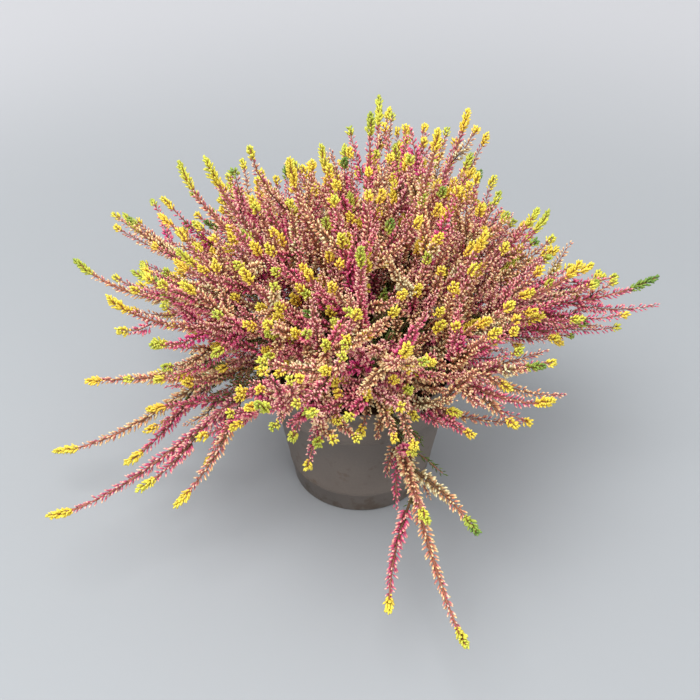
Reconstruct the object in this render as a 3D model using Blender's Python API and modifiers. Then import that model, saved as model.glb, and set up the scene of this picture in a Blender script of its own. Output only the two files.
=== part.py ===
"""A bud-flowering heather in its round plastic grower's pot.

Frame: metres, +Z up, origin at the centre of the pot's underside, -Y towards the viewer.
Each spray is one leafy stem that stands in its own hole in the soil. Its buds and leaves are
raised from its surface in crossed pairs, as heather carries them, and its side spikes are
joined to it. The young shoot tip at the end of each spray is a piece of its own colour.
"""

import math
import random
from collections import namedtuple
from functools import partial

import bmesh
import bpy
from mathutils import Quaternion, Vector
from mathutils.kdtree import KDTree

# Pot
POT_HEIGHT = 0.094
RIM_RADIUS = 0.060
RIM_BAND = 0.013
RIM_STEP = 0.0024
BASE_RADIUS = 0.0435
WALL = 0.0012
FLOOR = 0.0016
FOOT_CHAMFER = 0.0015
LIP_ROUND = 0.0008
DRAIN_COUNT = 6
DRAIN_RADIUS = 0.0042
DRAIN_CIRCLE = 0.0310
ROUND_STEPS = 28

# Soil
GAP = 0.0003
SOIL_TOP = 0.0835
SOIL_CROWN = 0.0030
CRUMB = 0.0009
SOIL_RING = 0.030
SOIL_SHOULDER = 0.006

# Sprays, from the steepest in the middle to the flattest round the outside
SEED = 11
SPRAYS = 28
FIRST_TURN = math.radians(90)
CROWN_RADIUS = 0.025
ROOTED = 0.012
HOLE_SIDES = 5
HOLE_PLAY = 0.0008
SHORTEST = 0.146
LONGEST = 0.172
STEEPEST = math.radians(5)
FLATTEST = math.radians(85)
TRAILERS = (22, 25, 27)
TRAILER_DROP = math.radians(22)
FREE_SIDE = Vector((-0.9, -0.44, 0))
FREE_SIDE_REACH = 0.09
RISE_SHARE = 0.34
BEND_SHARE = 0.35

# Side spikes: where along the stem each round of them forks, and how much of the rest it spans
SIDE_FORKS = ((0.13, 0.22), (0.24, 0.33), (0.34, 0.42), (0.43, 0.52))
SIDE_LENGTHS = ((0.34, 0.50), (0.48, 0.70), (0.50, 0.74), (0.52, 0.76))
SIDE_BEND_SHARE = 0.32
SIDE_LIFT = 0.35

# Stems, leaves and buds
STEM_RADIUS = 0.00135
BRANCH_RADIUS = 0.00080
WOODY_LENGTH = 0.016
BARE_FORK = 0.010
LEAFY_SHARE = 0.36
LEAF_PITCH = 0.0090
LEAF_REACH = 0.0032
LEAF_VALLEY = 0.0012
BUD_PITCH = 0.0070
BUD_REACH = 0.0053
BUD_VALLEY = 0.0020
BUD_RAKE = 0.0022
END_RADIUS = 0.0017
TIP_PITCH = 0.0048
TIP_REACH = 0.0035
TIP_VALLEY = 0.0017
TIP_RAKE = 0.0015
BUD_TAPER = 0.22
TIP_TAPER = 0.75

# Placing
AXIS_STEP = 0.003
CURVE_STEPS = 80
CLEARANCE = 0.0006
STEM_TRIALS = 300
SIDE_TRIALS = 60
GOLDEN_TURN = math.pi * (3 - math.sqrt(5))

UP = Vector((0, 0, 1))

# One ring of a spike: its place along the axis, its raised and low corners, and its finish
Ring = namedtuple("Ring", "distance reach valley rake finish")
SPRAY_FINISHES = ("woody_stem", "leaf_green", "bud_pink", "tip_yellow")
WOODY, LEAFY, BUDDED, YOUNG = range(4)

COLOURS = {
    "pot_plastic": ((0.36, 0.33, 0.30), 0.55),
    "soil": ((0.16, 0.11, 0.08), 0.95),
    "woody_stem": ((0.35, 0.24, 0.16), 0.85),
    "leaf_green": ((0.28, 0.36, 0.15), 0.70),
    "bud_pink": ((0.74, 0.38, 0.44), 0.60),
    "tip_yellow": ((0.86, 0.76, 0.20), 0.60),
}


def linear(value):
    """One sRGB channel as the linear value that a shader takes."""
    return value / 12.92 if value <= 0.04045 else ((value + 0.055) / 1.055) ** 2.4


def material(name):
    """The Principled material of that name, made once."""
    found = bpy.data.materials.get(name)
    if found:
        return found
    colour, roughness = COLOURS[name]
    made = bpy.data.materials.new(name)
    made.use_nodes = True
    shader = made.node_tree.nodes["Principled BSDF"]
    shader.inputs["Base Color"].default_value = (*map(linear, colour), 1)
    shader.inputs["Roughness"].default_value = roughness
    shader.inputs["Metallic"].default_value = 0
    made.diffuse_color = (*map(linear, colour), 1)
    return made


def add_object(name, mesh, collection, materials=()):
    """A named object for this mesh, in this collection."""
    made = bpy.data.objects.new(name, mesh)
    collection.objects.link(made)
    for each in materials:
        mesh.materials.append(material(each))
    return made


def new_collection(name):
    made = bpy.data.collections.new(name)
    bpy.context.scene.collection.children.link(made)
    return made


def apply_modifiers(obj):
    """Swaps the object's mesh for the one that its modifiers make."""
    graph = bpy.context.evaluated_depsgraph_get()
    made = bpy.data.meshes.new_from_object(obj.evaluated_get(graph))
    obj.modifiers.clear()
    obj.data = made


def turned(name, profile, collection, finish):
    """A profile of (radius, height) points turned round the Z axis by a Screw modifier."""
    mesh = bpy.data.meshes.new(name)
    edges = [(i, i + 1) for i in range(len(profile) - 1)]
    mesh.from_pydata([(r, 0, z) for r, z in profile], edges, [])
    made = add_object(name, mesh, collection, [finish])
    screw = made.modifiers.new("turn", "SCREW")
    screw.axis = "Z"
    screw.steps = screw.render_steps = ROUND_STEPS
    screw.use_merge_vertices = True
    screw.merge_threshold = 0.00001
    return made


def cylinders(name, places, radius, sides, collection):
    """One cutter of upright cylinders, each given as (x, y, lowest z, highest z)."""
    shape = bmesh.new()
    for x, y, low, high in places:
        made = bmesh.ops.create_cone(
            shape, cap_ends=True, segments=sides, radius1=radius, radius2=radius, depth=high - low
        )
        bmesh.ops.translate(shape, verts=made["verts"], vec=(x, y, (low + high) / 2))
    mesh = bpy.data.meshes.new(name)
    shape.to_mesh(mesh)
    shape.free()
    cutter = add_object(name, mesh, collection)
    cutter.hide_render = True
    cutter.display_type = "WIRE"
    return cutter


def cut(obj, cutter):
    hole = obj.modifiers.new("holes", "BOOLEAN")
    hole.operation = "DIFFERENCE"
    hole.solver = "EXACT"
    hole.object = cutter


def pot_radius(height):
    """Outer radius of the tapered wall, below the rim band."""
    band_low = POT_HEIGHT - RIM_BAND
    return BASE_RADIUS + (RIM_RADIUS - RIM_STEP - BASE_RADIUS) * height / band_low


def make_pot(parts, cutters):
    """The pot: a tapered wall, a stepped rim band with a soft lip, and a flat holed base."""
    band_low = POT_HEIGHT - RIM_BAND
    inner_rim = RIM_RADIUS - WALL
    profile = [
        (0, FLOOR),
        (pot_radius(FLOOR) - WALL, FLOOR),
        (pot_radius(band_low) - WALL, band_low),
        (inner_rim, band_low + RIM_STEP),
        (inner_rim, POT_HEIGHT - LIP_ROUND / 2),
        (inner_rim + LIP_ROUND / 2, POT_HEIGHT),
        (RIM_RADIUS - LIP_ROUND / 2, POT_HEIGHT),
        (RIM_RADIUS, POT_HEIGHT - LIP_ROUND),
        (RIM_RADIUS - LIP_ROUND / 2, band_low),
        (pot_radius(band_low), band_low),
        (pot_radius(FOOT_CHAMFER), FOOT_CHAMFER),
        (BASE_RADIUS - FOOT_CHAMFER, 0),
        (0, 0),
    ]
    pot = turned("pot", profile, parts, "pot_plastic")
    turns = [math.tau * (i + 0.5) / DRAIN_COUNT for i in range(DRAIN_COUNT)]
    places = [
        (DRAIN_CIRCLE * math.cos(a), DRAIN_CIRCLE * math.sin(a), -FLOOR, 2 * FLOOR) for a in turns
    ]
    cut(pot, cylinders("drain_holes", places, DRAIN_RADIUS, 8, cutters))


def soil_height(x, y):
    """Height of the soil's crumbly top, which is a little crowned round the stems."""
    share = min(1, math.hypot(x, y) / RIM_RADIUS)
    crumbs = math.sin(310 * x + 1.3) * math.cos(270 * y + 0.4) + math.sin(190 * (x + y))
    return SOIL_TOP + SOIL_CROWN * (1 - share * share) + CRUMB * crumbs * share


def make_soil(parts, cutters, stems):
    """The root ball: it fills the pot to just under the rim, with a plain hole for each stem."""
    band_low = POT_HEIGHT - RIM_BAND
    low = FLOOR + GAP
    side_slope = (pot_radius(band_low) - pot_radius(0)) / band_low
    low_radius = pot_radius(low) - WALL - GAP
    shoulder = SOIL_TOP - SOIL_SHOULDER
    profile = [
        (0, SOIL_TOP),
        (SOIL_RING, SOIL_TOP),
        (low_radius + side_slope * (SOIL_TOP - low) - RIM_STEP, SOIL_TOP),
        (low_radius + side_slope * (shoulder - low), shoulder),
        (low_radius, low),
        (0, low),
    ]
    soil = turned("soil", profile, parts, "soil")
    apply_modifiers(soil)
    for corner in soil.data.vertices:
        if corner.co.z > SOIL_TOP - GAP:
            corner.co.z = soil_height(corner.co.x, corner.co.y)
    feet = [stem.axis[0] for stem in stems]
    places = [(foot.x, foot.y, foot.z - GAP, foot.z + 2 * ROOTED) for foot in feet]
    holes = cylinders("stem_holes", places, STEM_RADIUS + HOLE_PLAY, HOLE_SIDES, cutters)
    cut(soil, holes)


def bezier(a, b, c, d, t):
    s = 1 - t
    return a * s**3 + b * (3 * s * s * t) + c * (3 * s * t * t) + d * t**3


def even_axis(controls, lead=()):
    """Points AXIS_STEP apart along a Bezier curve, after any straight lead points."""
    dense = [*lead, *(bezier(*controls, i / CURVE_STEPS) for i in range(CURVE_STEPS + 1))]
    points, travelled = [dense[0]], 0.0
    for before, after in zip(dense, dense[1:]):
        length = (after - before).length
        while travelled + length >= AXIS_STEP:
            before = before.lerp(after, (AXIS_STEP - travelled) / length)
            points.append(before)
            length = (after - before).length
            travelled = 0.0
        travelled += length
    return points


def at(axis, distance):
    """(point, tangent) at this distance along an axis."""
    place = max(0.0, min(distance / AXIS_STEP, len(axis) - 1.001))
    i = int(place)
    j = min(i + 1, len(axis) - 1)
    ahead = axis[min(j + 1, len(axis) - 1)] - axis[max(i - 1, 0)]
    return axis[i].lerp(axis[j], place - i), ahead.normalized()


def length_of(axis):
    return AXIS_STEP * (len(axis) - 1)


class Shoot:
    """One leafy stem: its axis, and where its leaves, buds and young tip begin along it."""

    def __init__(self, spray, axis, woody, leafy, tip):
        self.spray = spray
        self.axis = axis
        self.woody = woody
        self.leafy = leafy
        self.tip = tip

    def balls(self):
        """(point, radius) along the shoot, as wide as its leaves and buds stand out."""
        made = []
        for i, point in enumerate(self.axis):
            distance = i * AXIS_STEP
            if distance < self.woody:
                made.append((point, STEM_RADIUS))
            elif distance < self.leafy:
                made.append((point, LEAF_REACH))
            else:
                made.append((point, BUD_REACH))
        return made


class Thicket:
    """The space that shoots fill, for keeping each new shoot clear of the others."""

    def __init__(self):
        self.balls = []
        self.tree = KDTree(0)
        self.tree.balance()

    def add(self, shoot):
        self.balls += [(point, radius, shoot.spray) for point, radius in shoot.balls()]
        self.tree = KDTree(len(self.balls))
        for i, (point, _, _) in enumerate(self.balls):
            self.tree.insert(point, i)
        self.tree.balance()

    def free(self, shoot):
        """Whether the shoot is clear of all shoots, and past its fork also of its own spray."""
        past_fork = shoot.woody + 2 * BUD_REACH
        for i, (point, radius) in enumerate(shoot.balls()):
            forked = i * AXIS_STEP < past_fork
            for _, index, apart in self.tree.find_range(point, radius + BUD_REACH + CLEARANCE):
                _, other, spray = self.balls[index]
                if apart < radius + other + CLEARANCE and not (forked and spray == shoot.spray):
                    return False
        return True


def clear_of_pot(point, radius):
    """Whether a ball is above the table, clear of the soil, and in the pot's mouth or outside it."""
    around = math.hypot(point.x, point.y)
    near = radius + CLEARANCE
    if point.z < near:
        return False
    if around < RIM_RADIUS and radius > STEM_RADIUS and point.z < near + SOIL_TOP + SOIL_CROWN:
        return False
    if point.z > POT_HEIGHT + near:
        return True
    return around + near < RIM_RADIUS - WALL - RIM_STEP or around - near > RIM_RADIUS


def stands_clear(shoot, first):
    """Whether the shoot is clear of the pot and the soil, from this distance along it."""
    return all(
        clear_of_pot(point, radius)
        for i, (point, radius) in enumerate(shoot.balls())
        if i * AXIS_STEP > first
    )


def draw_stem(rank, draw):
    """The main stem of a spray: steep at the crown, spread by its rank, and lifted at its end."""
    share = (rank + 0.5) / SPRAYS
    turn = FIRST_TURN + rank * GOLDEN_TURN + math.radians(draw.uniform(-9, 9))
    lean = STEEPEST + (FLATTEST - STEEPEST) * share**0.80 + math.radians(draw.uniform(-5, 5))
    if rank in TRAILERS:
        lean += TRAILER_DROP
    outward = Vector((math.cos(turn), math.sin(turn), 0))
    across = Vector((-math.sin(turn), math.cos(turn), 0))
    length = SHORTEST + (LONGEST - SHORTEST) * share**0.6
    length *= 1 + FREE_SIDE_REACH * outward.dot(FREE_SIDE) * math.sin(lean)
    length *= draw.uniform(0.86, 1.10)
    lift = math.radians(draw.uniform(14, 34)) * min(1, lean)
    sway = draw.uniform(-0.12, 0.12)
    root = outward * (CROWN_RADIUS * math.sqrt(share))
    root.z = soil_height(root.x, root.y)
    rise = outward * math.sin(lean * RISE_SHARE) + UP * math.cos(lean * RISE_SHARE)
    spread = outward * math.sin(lean) + UP * math.cos(lean) + across * sway
    finish = outward * math.sin(lean - lift) + UP * math.cos(lean - lift)
    end = root + spread * length
    bend = BEND_SHARE * length
    axis = even_axis((root, root + rise * bend, end - finish * bend, end), [root - UP * ROOTED])
    whole = length_of(axis)
    leafy = ROOTED + LEAFY_SHARE * (whole - ROOTED) * draw.uniform(0.90, 1.10)
    return Shoot(rank, axis, ROOTED + WOODY_LENGTH, leafy, whole - draw.uniform(0.013, 0.020))


def draw_side(stem, forks, lengths, draw):
    """A side spike: it leaves the stem at a fork, and then bends to run more nearly along it."""
    start = ROOTED + draw.uniform(*forks) * (length_of(stem.axis) - ROOTED)
    point, along = at(stem.axis, start)
    aside = Quaternion(along, draw.uniform(0, math.tau)) @ along.orthogonal().normalized()
    length = (length_of(stem.axis) - start) * draw.uniform(*lengths)
    fork = math.radians(draw.uniform(34, 50))
    last = math.radians(draw.uniform(0, 22))
    leave = along * math.cos(fork) + aside * math.sin(fork)
    finish = (along * math.cos(last) + aside * math.sin(last) + UP * SIDE_LIFT).normalized()
    end = point + (leave + finish).normalized() * length
    bend = SIDE_BEND_SHARE * length
    axis = even_axis((point, point + leave * bend, end - finish * bend, end))
    tip = length_of(axis) - draw.uniform(0.010, 0.015)
    return Shoot(stem.spray, axis, BARE_FORK, BARE_FORK, tip)


def first_clear(trials, make, thicket, first):
    """The first of so many drawn shoots that is clear of the pot and of the thicket."""
    for _ in range(trials):
        shoot = make()
        if stands_clear(shoot, first) and thicket.free(shoot):
            thicket.add(shoot)
            return shoot
    return None


def plan_sprays():
    """The stem of each spray, placed clear of each other, and then its side spikes in rounds."""
    draw = random.Random(SEED)
    thicket = Thicket()
    stems = [
        first_clear(STEM_TRIALS, partial(draw_stem, rank, draw), thicket, ROOTED)
        for rank in range(SPRAYS)
    ]
    sides = [[] for _ in stems]
    for forks, lengths in zip(SIDE_FORKS, SIDE_LENGTHS):
        for stem in stems:
            make = partial(draw_side, stem, forks, lengths, draw)
            side = first_clear(SIDE_TRIALS, make, thicket, 0)
            if side:
                sides[stem.spray].append(side)
    return stems, sides


def spread_along(start, end, pitch, fewest=1):
    """(distance, share) of points about a pitch apart, from the start to just short of the end."""
    count = max(fewest, round((end - start) / pitch))
    return [(start + (end - start) * i / count, i / count) for i in range(count)]


def stem_rings(shoot, core):
    """The rings of a shoot from its root up to its young tip."""
    rings = [Ring(0, core, core, 0, WOODY)]
    if shoot.leafy > shoot.woody:
        rings.append(Ring(ROOTED, core, core, 0, WOODY))
        rings.append(Ring(shoot.woody - LEAF_PITCH / 2, core, core, 0, WOODY))
        for distance, _ in spread_along(shoot.woody, shoot.leafy, LEAF_PITCH):
            rings.append(Ring(distance, LEAF_REACH, LEAF_VALLEY, BUD_RAKE, LEAFY))
    for distance, share in spread_along(shoot.leafy, shoot.tip, BUD_PITCH):
        size = 1 - BUD_TAPER * share**2
        rings.append(Ring(distance, BUD_REACH * size, BUD_VALLEY * size, BUD_RAKE, BUDDED))
    return rings


def tip_rings(start, end):
    """The rings of a young shoot tip, closing in towards its end."""
    rings = []
    for distance, share in spread_along(start, end, TIP_PITCH, fewest=3):
        size = math.sqrt(1 - TIP_TAPER * share**2)
        rings.append(Ring(distance, TIP_REACH * size, TIP_VALLEY * size, TIP_RAKE, YOUNG))
    return rings


def ring_corners(axis, ring, first, normal, shape):
    """A ring's four corners, of which every other one, counting from first, is raised."""
    centre, tangent = at(axis, ring.distance)
    corners = []
    for k in range(4):
        out = Quaternion(tangent, math.pi / 2 * k) @ normal
        if (first + k) % 2 == 0:
            corners.append(shape.verts.new(centre + out * ring.reach + tangent * ring.rake))
        else:
            corners.append(shape.verts.new(centre + out * ring.valley))
    return corners


def loft(axis, rings, pointed_at=None):
    """Rings of four corners joined along an axis, with raised corners in crossed pairs.

    Neighbouring rings raise opposite pairs. Each face pair is split from valley to valley, so
    that the raised corners stand out as points. The end closes flat, or at pointed_at.
    """
    shape = bmesh.new()
    normal = at(axis, rings[0].distance)[1].orthogonal().normalized()
    loops = []
    for j, ring in enumerate(rings):
        tangent = at(axis, ring.distance)[1]
        normal = (normal - tangent * normal.dot(tangent)).normalized()
        loops.append(ring_corners(axis, ring, j, normal, shape))
    for j, (low, high) in enumerate(zip(loops, loops[1:])):
        for k in range(4):
            a, b, c, d = low[k], low[(k + 1) % 4], high[(k + 1) % 4], high[k]
            pair = ((a, b, d), (b, c, d)) if (j + k) % 2 == 0 else ((a, b, c), (a, c, d))
            for corners in pair:
                shape.faces.new(corners).material_index = rings[j].finish
    last = rings[-1].finish
    shape.faces.new(loops[0][::-1]).material_index = rings[0].finish
    if pointed_at is None:
        shape.faces.new(loops[-1]).material_index = last
    else:
        apex = shape.verts.new(at(axis, pointed_at)[0])
        for k in range(4):
            shape.faces.new((loops[-1][k], loops[-1][(k + 1) % 4], apex)).material_index = last
    mesh = bpy.data.meshes.new("spike")
    shape.to_mesh(mesh)
    shape.free()
    return mesh


def make_spray(number, stem, sides, parts):
    """One spray: the stem with its spike, and its side spikes joined to it."""
    rings = [*stem_rings(stem, STEM_RADIUS), Ring(stem.tip, END_RADIUS, END_RADIUS, 0, BUDDED)]
    spray = add_object(f"spray_{number:02d}", loft(stem.axis, rings), parts, SPRAY_FINISHES)
    branches = new_collection(f"branches_{number:02d}")
    for side in sides:
        end = length_of(side.axis)
        rings = stem_rings(side, BRANCH_RADIUS) + tip_rings(side.tip, end - TIP_RAKE)
        add_object("side_spike", loft(side.axis, rings, end), branches, SPRAY_FINISHES)
    union = spray.modifiers.new("branches", "BOOLEAN")
    union.operation = "UNION"
    union.solver = "EXACT"
    union.operand_type = "COLLECTION"
    union.collection = branches
    apply_modifiers(spray)
    for branch in list(branches.objects):
        bpy.data.objects.remove(branch)
    bpy.data.collections.remove(branches)


def make_tip(number, stem, parts):
    """The young shoot tip that goes on from the flat end of a spray's main spike."""
    start = stem.tip + GAP
    end = length_of(stem.axis)
    rings = [Ring(start, END_RADIUS, END_RADIUS, 0, YOUNG)]
    rings += tip_rings(start + TIP_PITCH / 2, end - TIP_RAKE)
    mesh = loft(stem.axis, rings, end)
    for face in mesh.polygons:
        face.material_index = 0
    add_object(f"tip_{number:02d}", mesh, parts, ["tip_yellow"])


def main():
    for old in list(bpy.data.objects):
        bpy.data.objects.remove(old)
    parts = new_collection("potted_heather")
    cutters = new_collection("cutters")
    stems, sides = plan_sprays()
    make_pot(parts, cutters)
    make_soil(parts, cutters, stems)
    for number, (stem, own_sides) in enumerate(zip(stems, sides), start=1):
        make_spray(number, stem, own_sides, parts)
        make_tip(number, stem, parts)


main()
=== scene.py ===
"""The looks of a potted bud-flowering heather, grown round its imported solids.

Frame: metres, +Z up, origin at the centre of the pot's underside, -Y towards the viewer. The
sprays are planned as the solids were, from the same sizes and the same draws, so that every bud,
leaf and young shoot here stands on the axis that the solid spike has.
"""

import math
import random
from collections import namedtuple
from functools import lru_cache, partial

import bmesh
import bpy
import numpy as np
from bpy.props import FloatProperty, FloatVectorProperty, IntProperty, PointerProperty
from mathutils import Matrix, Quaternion, Vector, noise
from mathutils.kdtree import KDTree


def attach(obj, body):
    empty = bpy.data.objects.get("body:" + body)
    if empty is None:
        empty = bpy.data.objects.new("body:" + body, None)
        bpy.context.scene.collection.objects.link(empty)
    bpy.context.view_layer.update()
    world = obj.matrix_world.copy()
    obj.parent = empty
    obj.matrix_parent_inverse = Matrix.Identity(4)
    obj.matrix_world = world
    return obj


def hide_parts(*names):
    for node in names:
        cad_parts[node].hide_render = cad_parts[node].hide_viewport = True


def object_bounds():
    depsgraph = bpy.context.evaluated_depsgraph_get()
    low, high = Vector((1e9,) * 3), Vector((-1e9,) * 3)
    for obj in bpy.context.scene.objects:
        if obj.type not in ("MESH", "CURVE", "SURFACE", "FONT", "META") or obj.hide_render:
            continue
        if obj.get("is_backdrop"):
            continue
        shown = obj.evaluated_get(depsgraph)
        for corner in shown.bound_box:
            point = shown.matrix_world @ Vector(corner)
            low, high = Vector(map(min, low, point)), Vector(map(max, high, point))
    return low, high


bl_info = {
    "name": "Potted Heather",
    "version": (1, 0, 0),
    "blender": (4, 5, 0),
    "location": "View3D > Sidebar > Heather",
    "description": "Grows a bud-flowering heather in its grower's pot round its solid model",
    "category": "Add Mesh",
}

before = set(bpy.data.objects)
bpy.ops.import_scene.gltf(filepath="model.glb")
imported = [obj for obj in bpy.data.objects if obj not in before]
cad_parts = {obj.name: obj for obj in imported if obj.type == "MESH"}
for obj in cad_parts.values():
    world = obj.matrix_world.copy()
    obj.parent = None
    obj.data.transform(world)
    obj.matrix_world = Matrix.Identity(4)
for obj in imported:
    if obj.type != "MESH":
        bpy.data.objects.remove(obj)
SOLID_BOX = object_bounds()

# The solid model's own sizes, in metres, and its ranges of chance, in degrees where the name says
# so. The plan below needs them exactly as they are there.
POT_HEIGHT = 0.094
RIM_RADIUS = 0.060
RIM_BAND = 0.013
RIM_STEP = 0.0024
BASE_RADIUS = 0.0435
WALL = 0.0012
FLOOR = 0.0016
FOOT_CHAMFER = 0.0015
LIP_ROUND = 0.0008
DRAIN_COUNT = 6
DRAIN_RADIUS = 0.0042
DRAIN_CIRCLE = 0.0310
GAP = 0.0003
SOIL_TOP = 0.0835
SOIL_CROWN = 0.0030
CRUMB = 0.0009
SEED = 11
SPRAYS = 28
FIRST_TURN = math.radians(90)
CROWN_RADIUS = 0.025
ROOTED = 0.012
SHORTEST = 0.146
LONGEST = 0.172
LENGTH_POWER = 0.6
LENGTH_SHARES = (0.86, 1.10)
STEEPEST = math.radians(5)
FLATTEST = math.radians(85)
LEAN_POWER = 0.80
LEAN_DEGREES = (-5, 5)
TURN_DEGREES = (-9, 9)
LIFT_DEGREES = (14, 34)
SWAYS = (-0.12, 0.12)
TRAILERS = (22, 25, 27)
TRAILER_DROP = math.radians(22)
FREE_SIDE = Vector((-0.9, -0.44, 0))
FREE_SIDE_REACH = 0.09
RISE_SHARE = 0.34
BEND_SHARE = 0.35
SIDE_FORKS = ((0.13, 0.22), (0.24, 0.33), (0.34, 0.42), (0.43, 0.52))
SIDE_LENGTHS = ((0.34, 0.50), (0.48, 0.70), (0.50, 0.74), (0.52, 0.76))
SIDE_DEGREES = ((34, 50), (0, 22))
SIDE_BEND_SHARE = 0.32
SIDE_LIFT = 0.35
STEM_RADIUS = 0.00135
BRANCH_RADIUS = 0.00080
WOODY_LENGTH = 0.016
BARE_FORK = 0.010
LEAFY_SHARE = 0.36
LEAFY_SPREAD = (0.90, 1.10)
STEM_TIPS = (0.013, 0.020)
SIDE_TIPS = (0.010, 0.015)
LEAF_REACH = 0.0032
BUD_REACH = 0.0053
YOUNG_REACH = 0.0039
AXIS_STEP = 0.003
CURVE_STEPS = 80
CLEARANCE = 0.0006
STEM_TRIALS = 300
SIDE_TRIALS = 60
GOLDEN_TURN = math.pi * (3 - math.sqrt(5))
UP = Vector((0, 0, 1))

# Twigs that only the fine model has, in layers: dark leafy shoots between the stems, short spikes
# that hang below the outer sprays, and short spikes between all others. Each twig starts between
# two shares of its parent's length. It grows only where others stand further out, and has a young
# tip more often the further out it ends.
Layer = namedtuple("Layer", "rounds starts lengths lift")
SHOOTS = Layer(7, (0.13, 0.42), (0.018, 0.038), SIDE_LIFT)
SKIRTS = Layer(6, (0.16, 0.55), (0.020, 0.042), -0.55)
TWIGS = Layer(26, (0.14, 0.86), (0.026, 0.062), SIDE_LIFT)
SKIRT_RANK = 12
TRAILER_BARE = 0.095
TWIG_SEED = 23
TWIG_TRIALS = 24
TWIG_DEGREES = ((32, 54), (4, 24))
TWIG_BARE = 0.004
TWIG_ROOM = 0.0012
TWIG_REACH = 0.0046
TWIG_RADIUS = 0.00045
TWIG_TIP_LENGTHS = (0.006, 0.011)
LONG_TIP_SHARE = 0.50
TIPPED_INSIDE = 0.22
TIPPED_OUTSIDE = 0.90
TIPPED_FROM = (0.085, 0.155)
SPIKE_ROOM = 0.62
INSIDE_BY = 0.0005
INSIDE_LOOK = 0.026

# The finish map: each form's column of it is its tone, and its height is the place along the form
FINISH_MAP = "OFBake"
BARK_COLUMNS = (0.04, 0.44)
LEAF_COLUMNS = (0.56, 0.96)
COLUMN_WIDTH = 0.012

# The tones of buds and of young tips, and the colours that stand there
BUD_TONES = {"greenish": 0.08, "cream": 0.28, "dusky": 0.48, "rose": 0.68, "magenta": 0.94}
TIP_TONES = {"amber": 0.08, "gold": 0.30, "lime": 0.62, "green": 0.92}
TONE_ENDS = (0.02, 0.98)

# Which tones the spikes and tips get. The chances of cream and of lime are (least, how much more)
# between two heights, and between two distances from the crown.
GREENISH_CHANCE, GREENISH_SPIKES = 0.07, (0.05, 0.16)
CREAM_CHANCE, CREAM_HEIGHTS = (0.30, 0.26), (0.06, 0.22)
CREAM_SPIKES, CREAM_ENDS = (0.29, 0.07), (0.18, 0.44)
ROSE_SPIKES, ROSE_ENDS = (0.70, 0.13), (0.50, 0.96)
GREEN_CHANCE, GREEN_TIPS = 0.05, (0.76, 0.95)
LIME_CHANCE, LIME_DISTANCES, LIME_TIPS = (0.10, 0.50), (0.11, 0.17), (0.46, 0.70)
GOLD_TIPS = (0.22, 0.40)

# How each form stands on a spike: how far each crossed pair turns past the last one, how far from
# the axis its foot stands, its flatness, and the spreads of its size, its way and its tone
Habit = namedtuple("Habit", "drift foot flatness size way tone")
BUDS = Habit(0.13, 0.0004, 1.0, 0.10, 0.10, 0.06)
TIPS = Habit(0.10, 0.0003, 0.8, 0.10, 0.08, 0.03)
LEAVES = Habit(0.12, 0.0006, 0.7, 0.14, 0.10, 0.20)
TURN_SPREAD = 0.26
LEAN_SPREAD = 0.14
SHORTEST_ROW = 0.002
AIRY_END = 0.2
AIRY_PITCH = 0.75
FOOT_CROWDING = 0.16
END_LOSSES = (0.42, 0.75)  # of the buds' size and lean at a spike's end
TIPPED_LOSSES = (0.34, 0.36)  # and under a young tip
DUSKY_END = 0.7
TWIG_BUD_SHARES = (0.95, 0.86)
TIP_SHORT_BY = 0.0012
TIP_TAPER = 0.72
TIP_NECK, TIP_SWELL = 0.66, 1.5
TIP_SLIMMEST = 0.6
TIP_TONE_RISE = 0.20
TIP_LEAN = math.radians(46)
TIP_END_LEANS = (math.radians(12), math.radians(20))
TIP_CLOSED_FROM = 0.93
LEAF_LEAN = math.radians(38)

# (sides, step, radii at the foot and the end) of each kind of stem
MAIN_STEM = (8, 0.003, (STEM_RADIUS, 0.0005))
SIDE_STEM = (6, 0.006, (BRANCH_RADIUS, 0.0004))
TWIG_STEM = (4, 0.009, (TWIG_RADIUS, 0.0003))
STEM_SHORT_BY = 0.002

# Seeds: the first three stand beside the one of the settings
BUD_SEED = 0
STEM_SEED = 100
TIP_SEED = 200
SHADE_SEED = 1000
PEAT_SEED = 77

# The fine pot and peat
MOULD_LINES = (0.070, 0.0685, 0.067, 0.018, 0.0165)
MOULD_LINE_HALVES = (0.0006, 0.0002)
RIM_INSIDE = 0.0022
LIP_STEPS = 8
CORNER_ROUND = 0.0008
DRAIN_STEPS = 32
SHARP_FROM = math.radians(38)
PEAT_RINGS = 46
PEAT_STEPS = 150
PEAT_SHOULDER = 0.0022
PEAT_EDGE = 0.0004
PEAT_ROUGH = 0.0011
PEAT_GRIT = 0.0004
PEAT_EDGE_FROM = 0.93
PEAT_EDGE_DROP = 0.0016
CRUMBS_WITHIN = 0.97
FIBRES_WITHIN = 0.9
CRUMB_SIZES = (0.0005, 0.0015)
CRUMB_FLATNESS = 0.7
FIBRE_LENGTHS = (0.003, 0.008)
FIBRE_BENDS = (-0.9, 0.9)
FIBRE_STEPS = 4
FIBRE_WIDTH = 0.00016
FIBRE_HEIGHT = 0.00022
FIBRE_ARCH = (0.0008, 0.0010)

# The studio: its lights as (size, place), and the floor, whose sweep is a share of its radius
KEY_LIGHT = (1.3, (-0.35, -0.55, 1.5))
FILL_LIGHT = (1.6, (1.2, -1.9, 1.3))
SKY_COLOUR = (0.97, 0.985, 1.0, 1.0)
FLOOR_RINGS = (0, 0.2, 0.6, 1)
FLOOR_STEPS = 96
SWEEP_SHARE = 0.35
SWEEP_STEPS = 12
WALL_HEIGHT = 0.7

# Sockets of the colour mix node, which share their names with those of its other kinds
MIX_SHARE, MIX_FIRST, MIX_SECOND, MIX_COLOUR = 0, 6, 7, 2


def srgb(red, green, blue):
    """A colour given as 0 to 255 on screen, as the linear colour that a shader takes."""
    shares = (red / 255, green / 255, blue / 255)
    return tuple(s / 12.92 if s <= 0.04045 else ((s + 0.055) / 1.055) ** 2.4 for s in shares)


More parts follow.
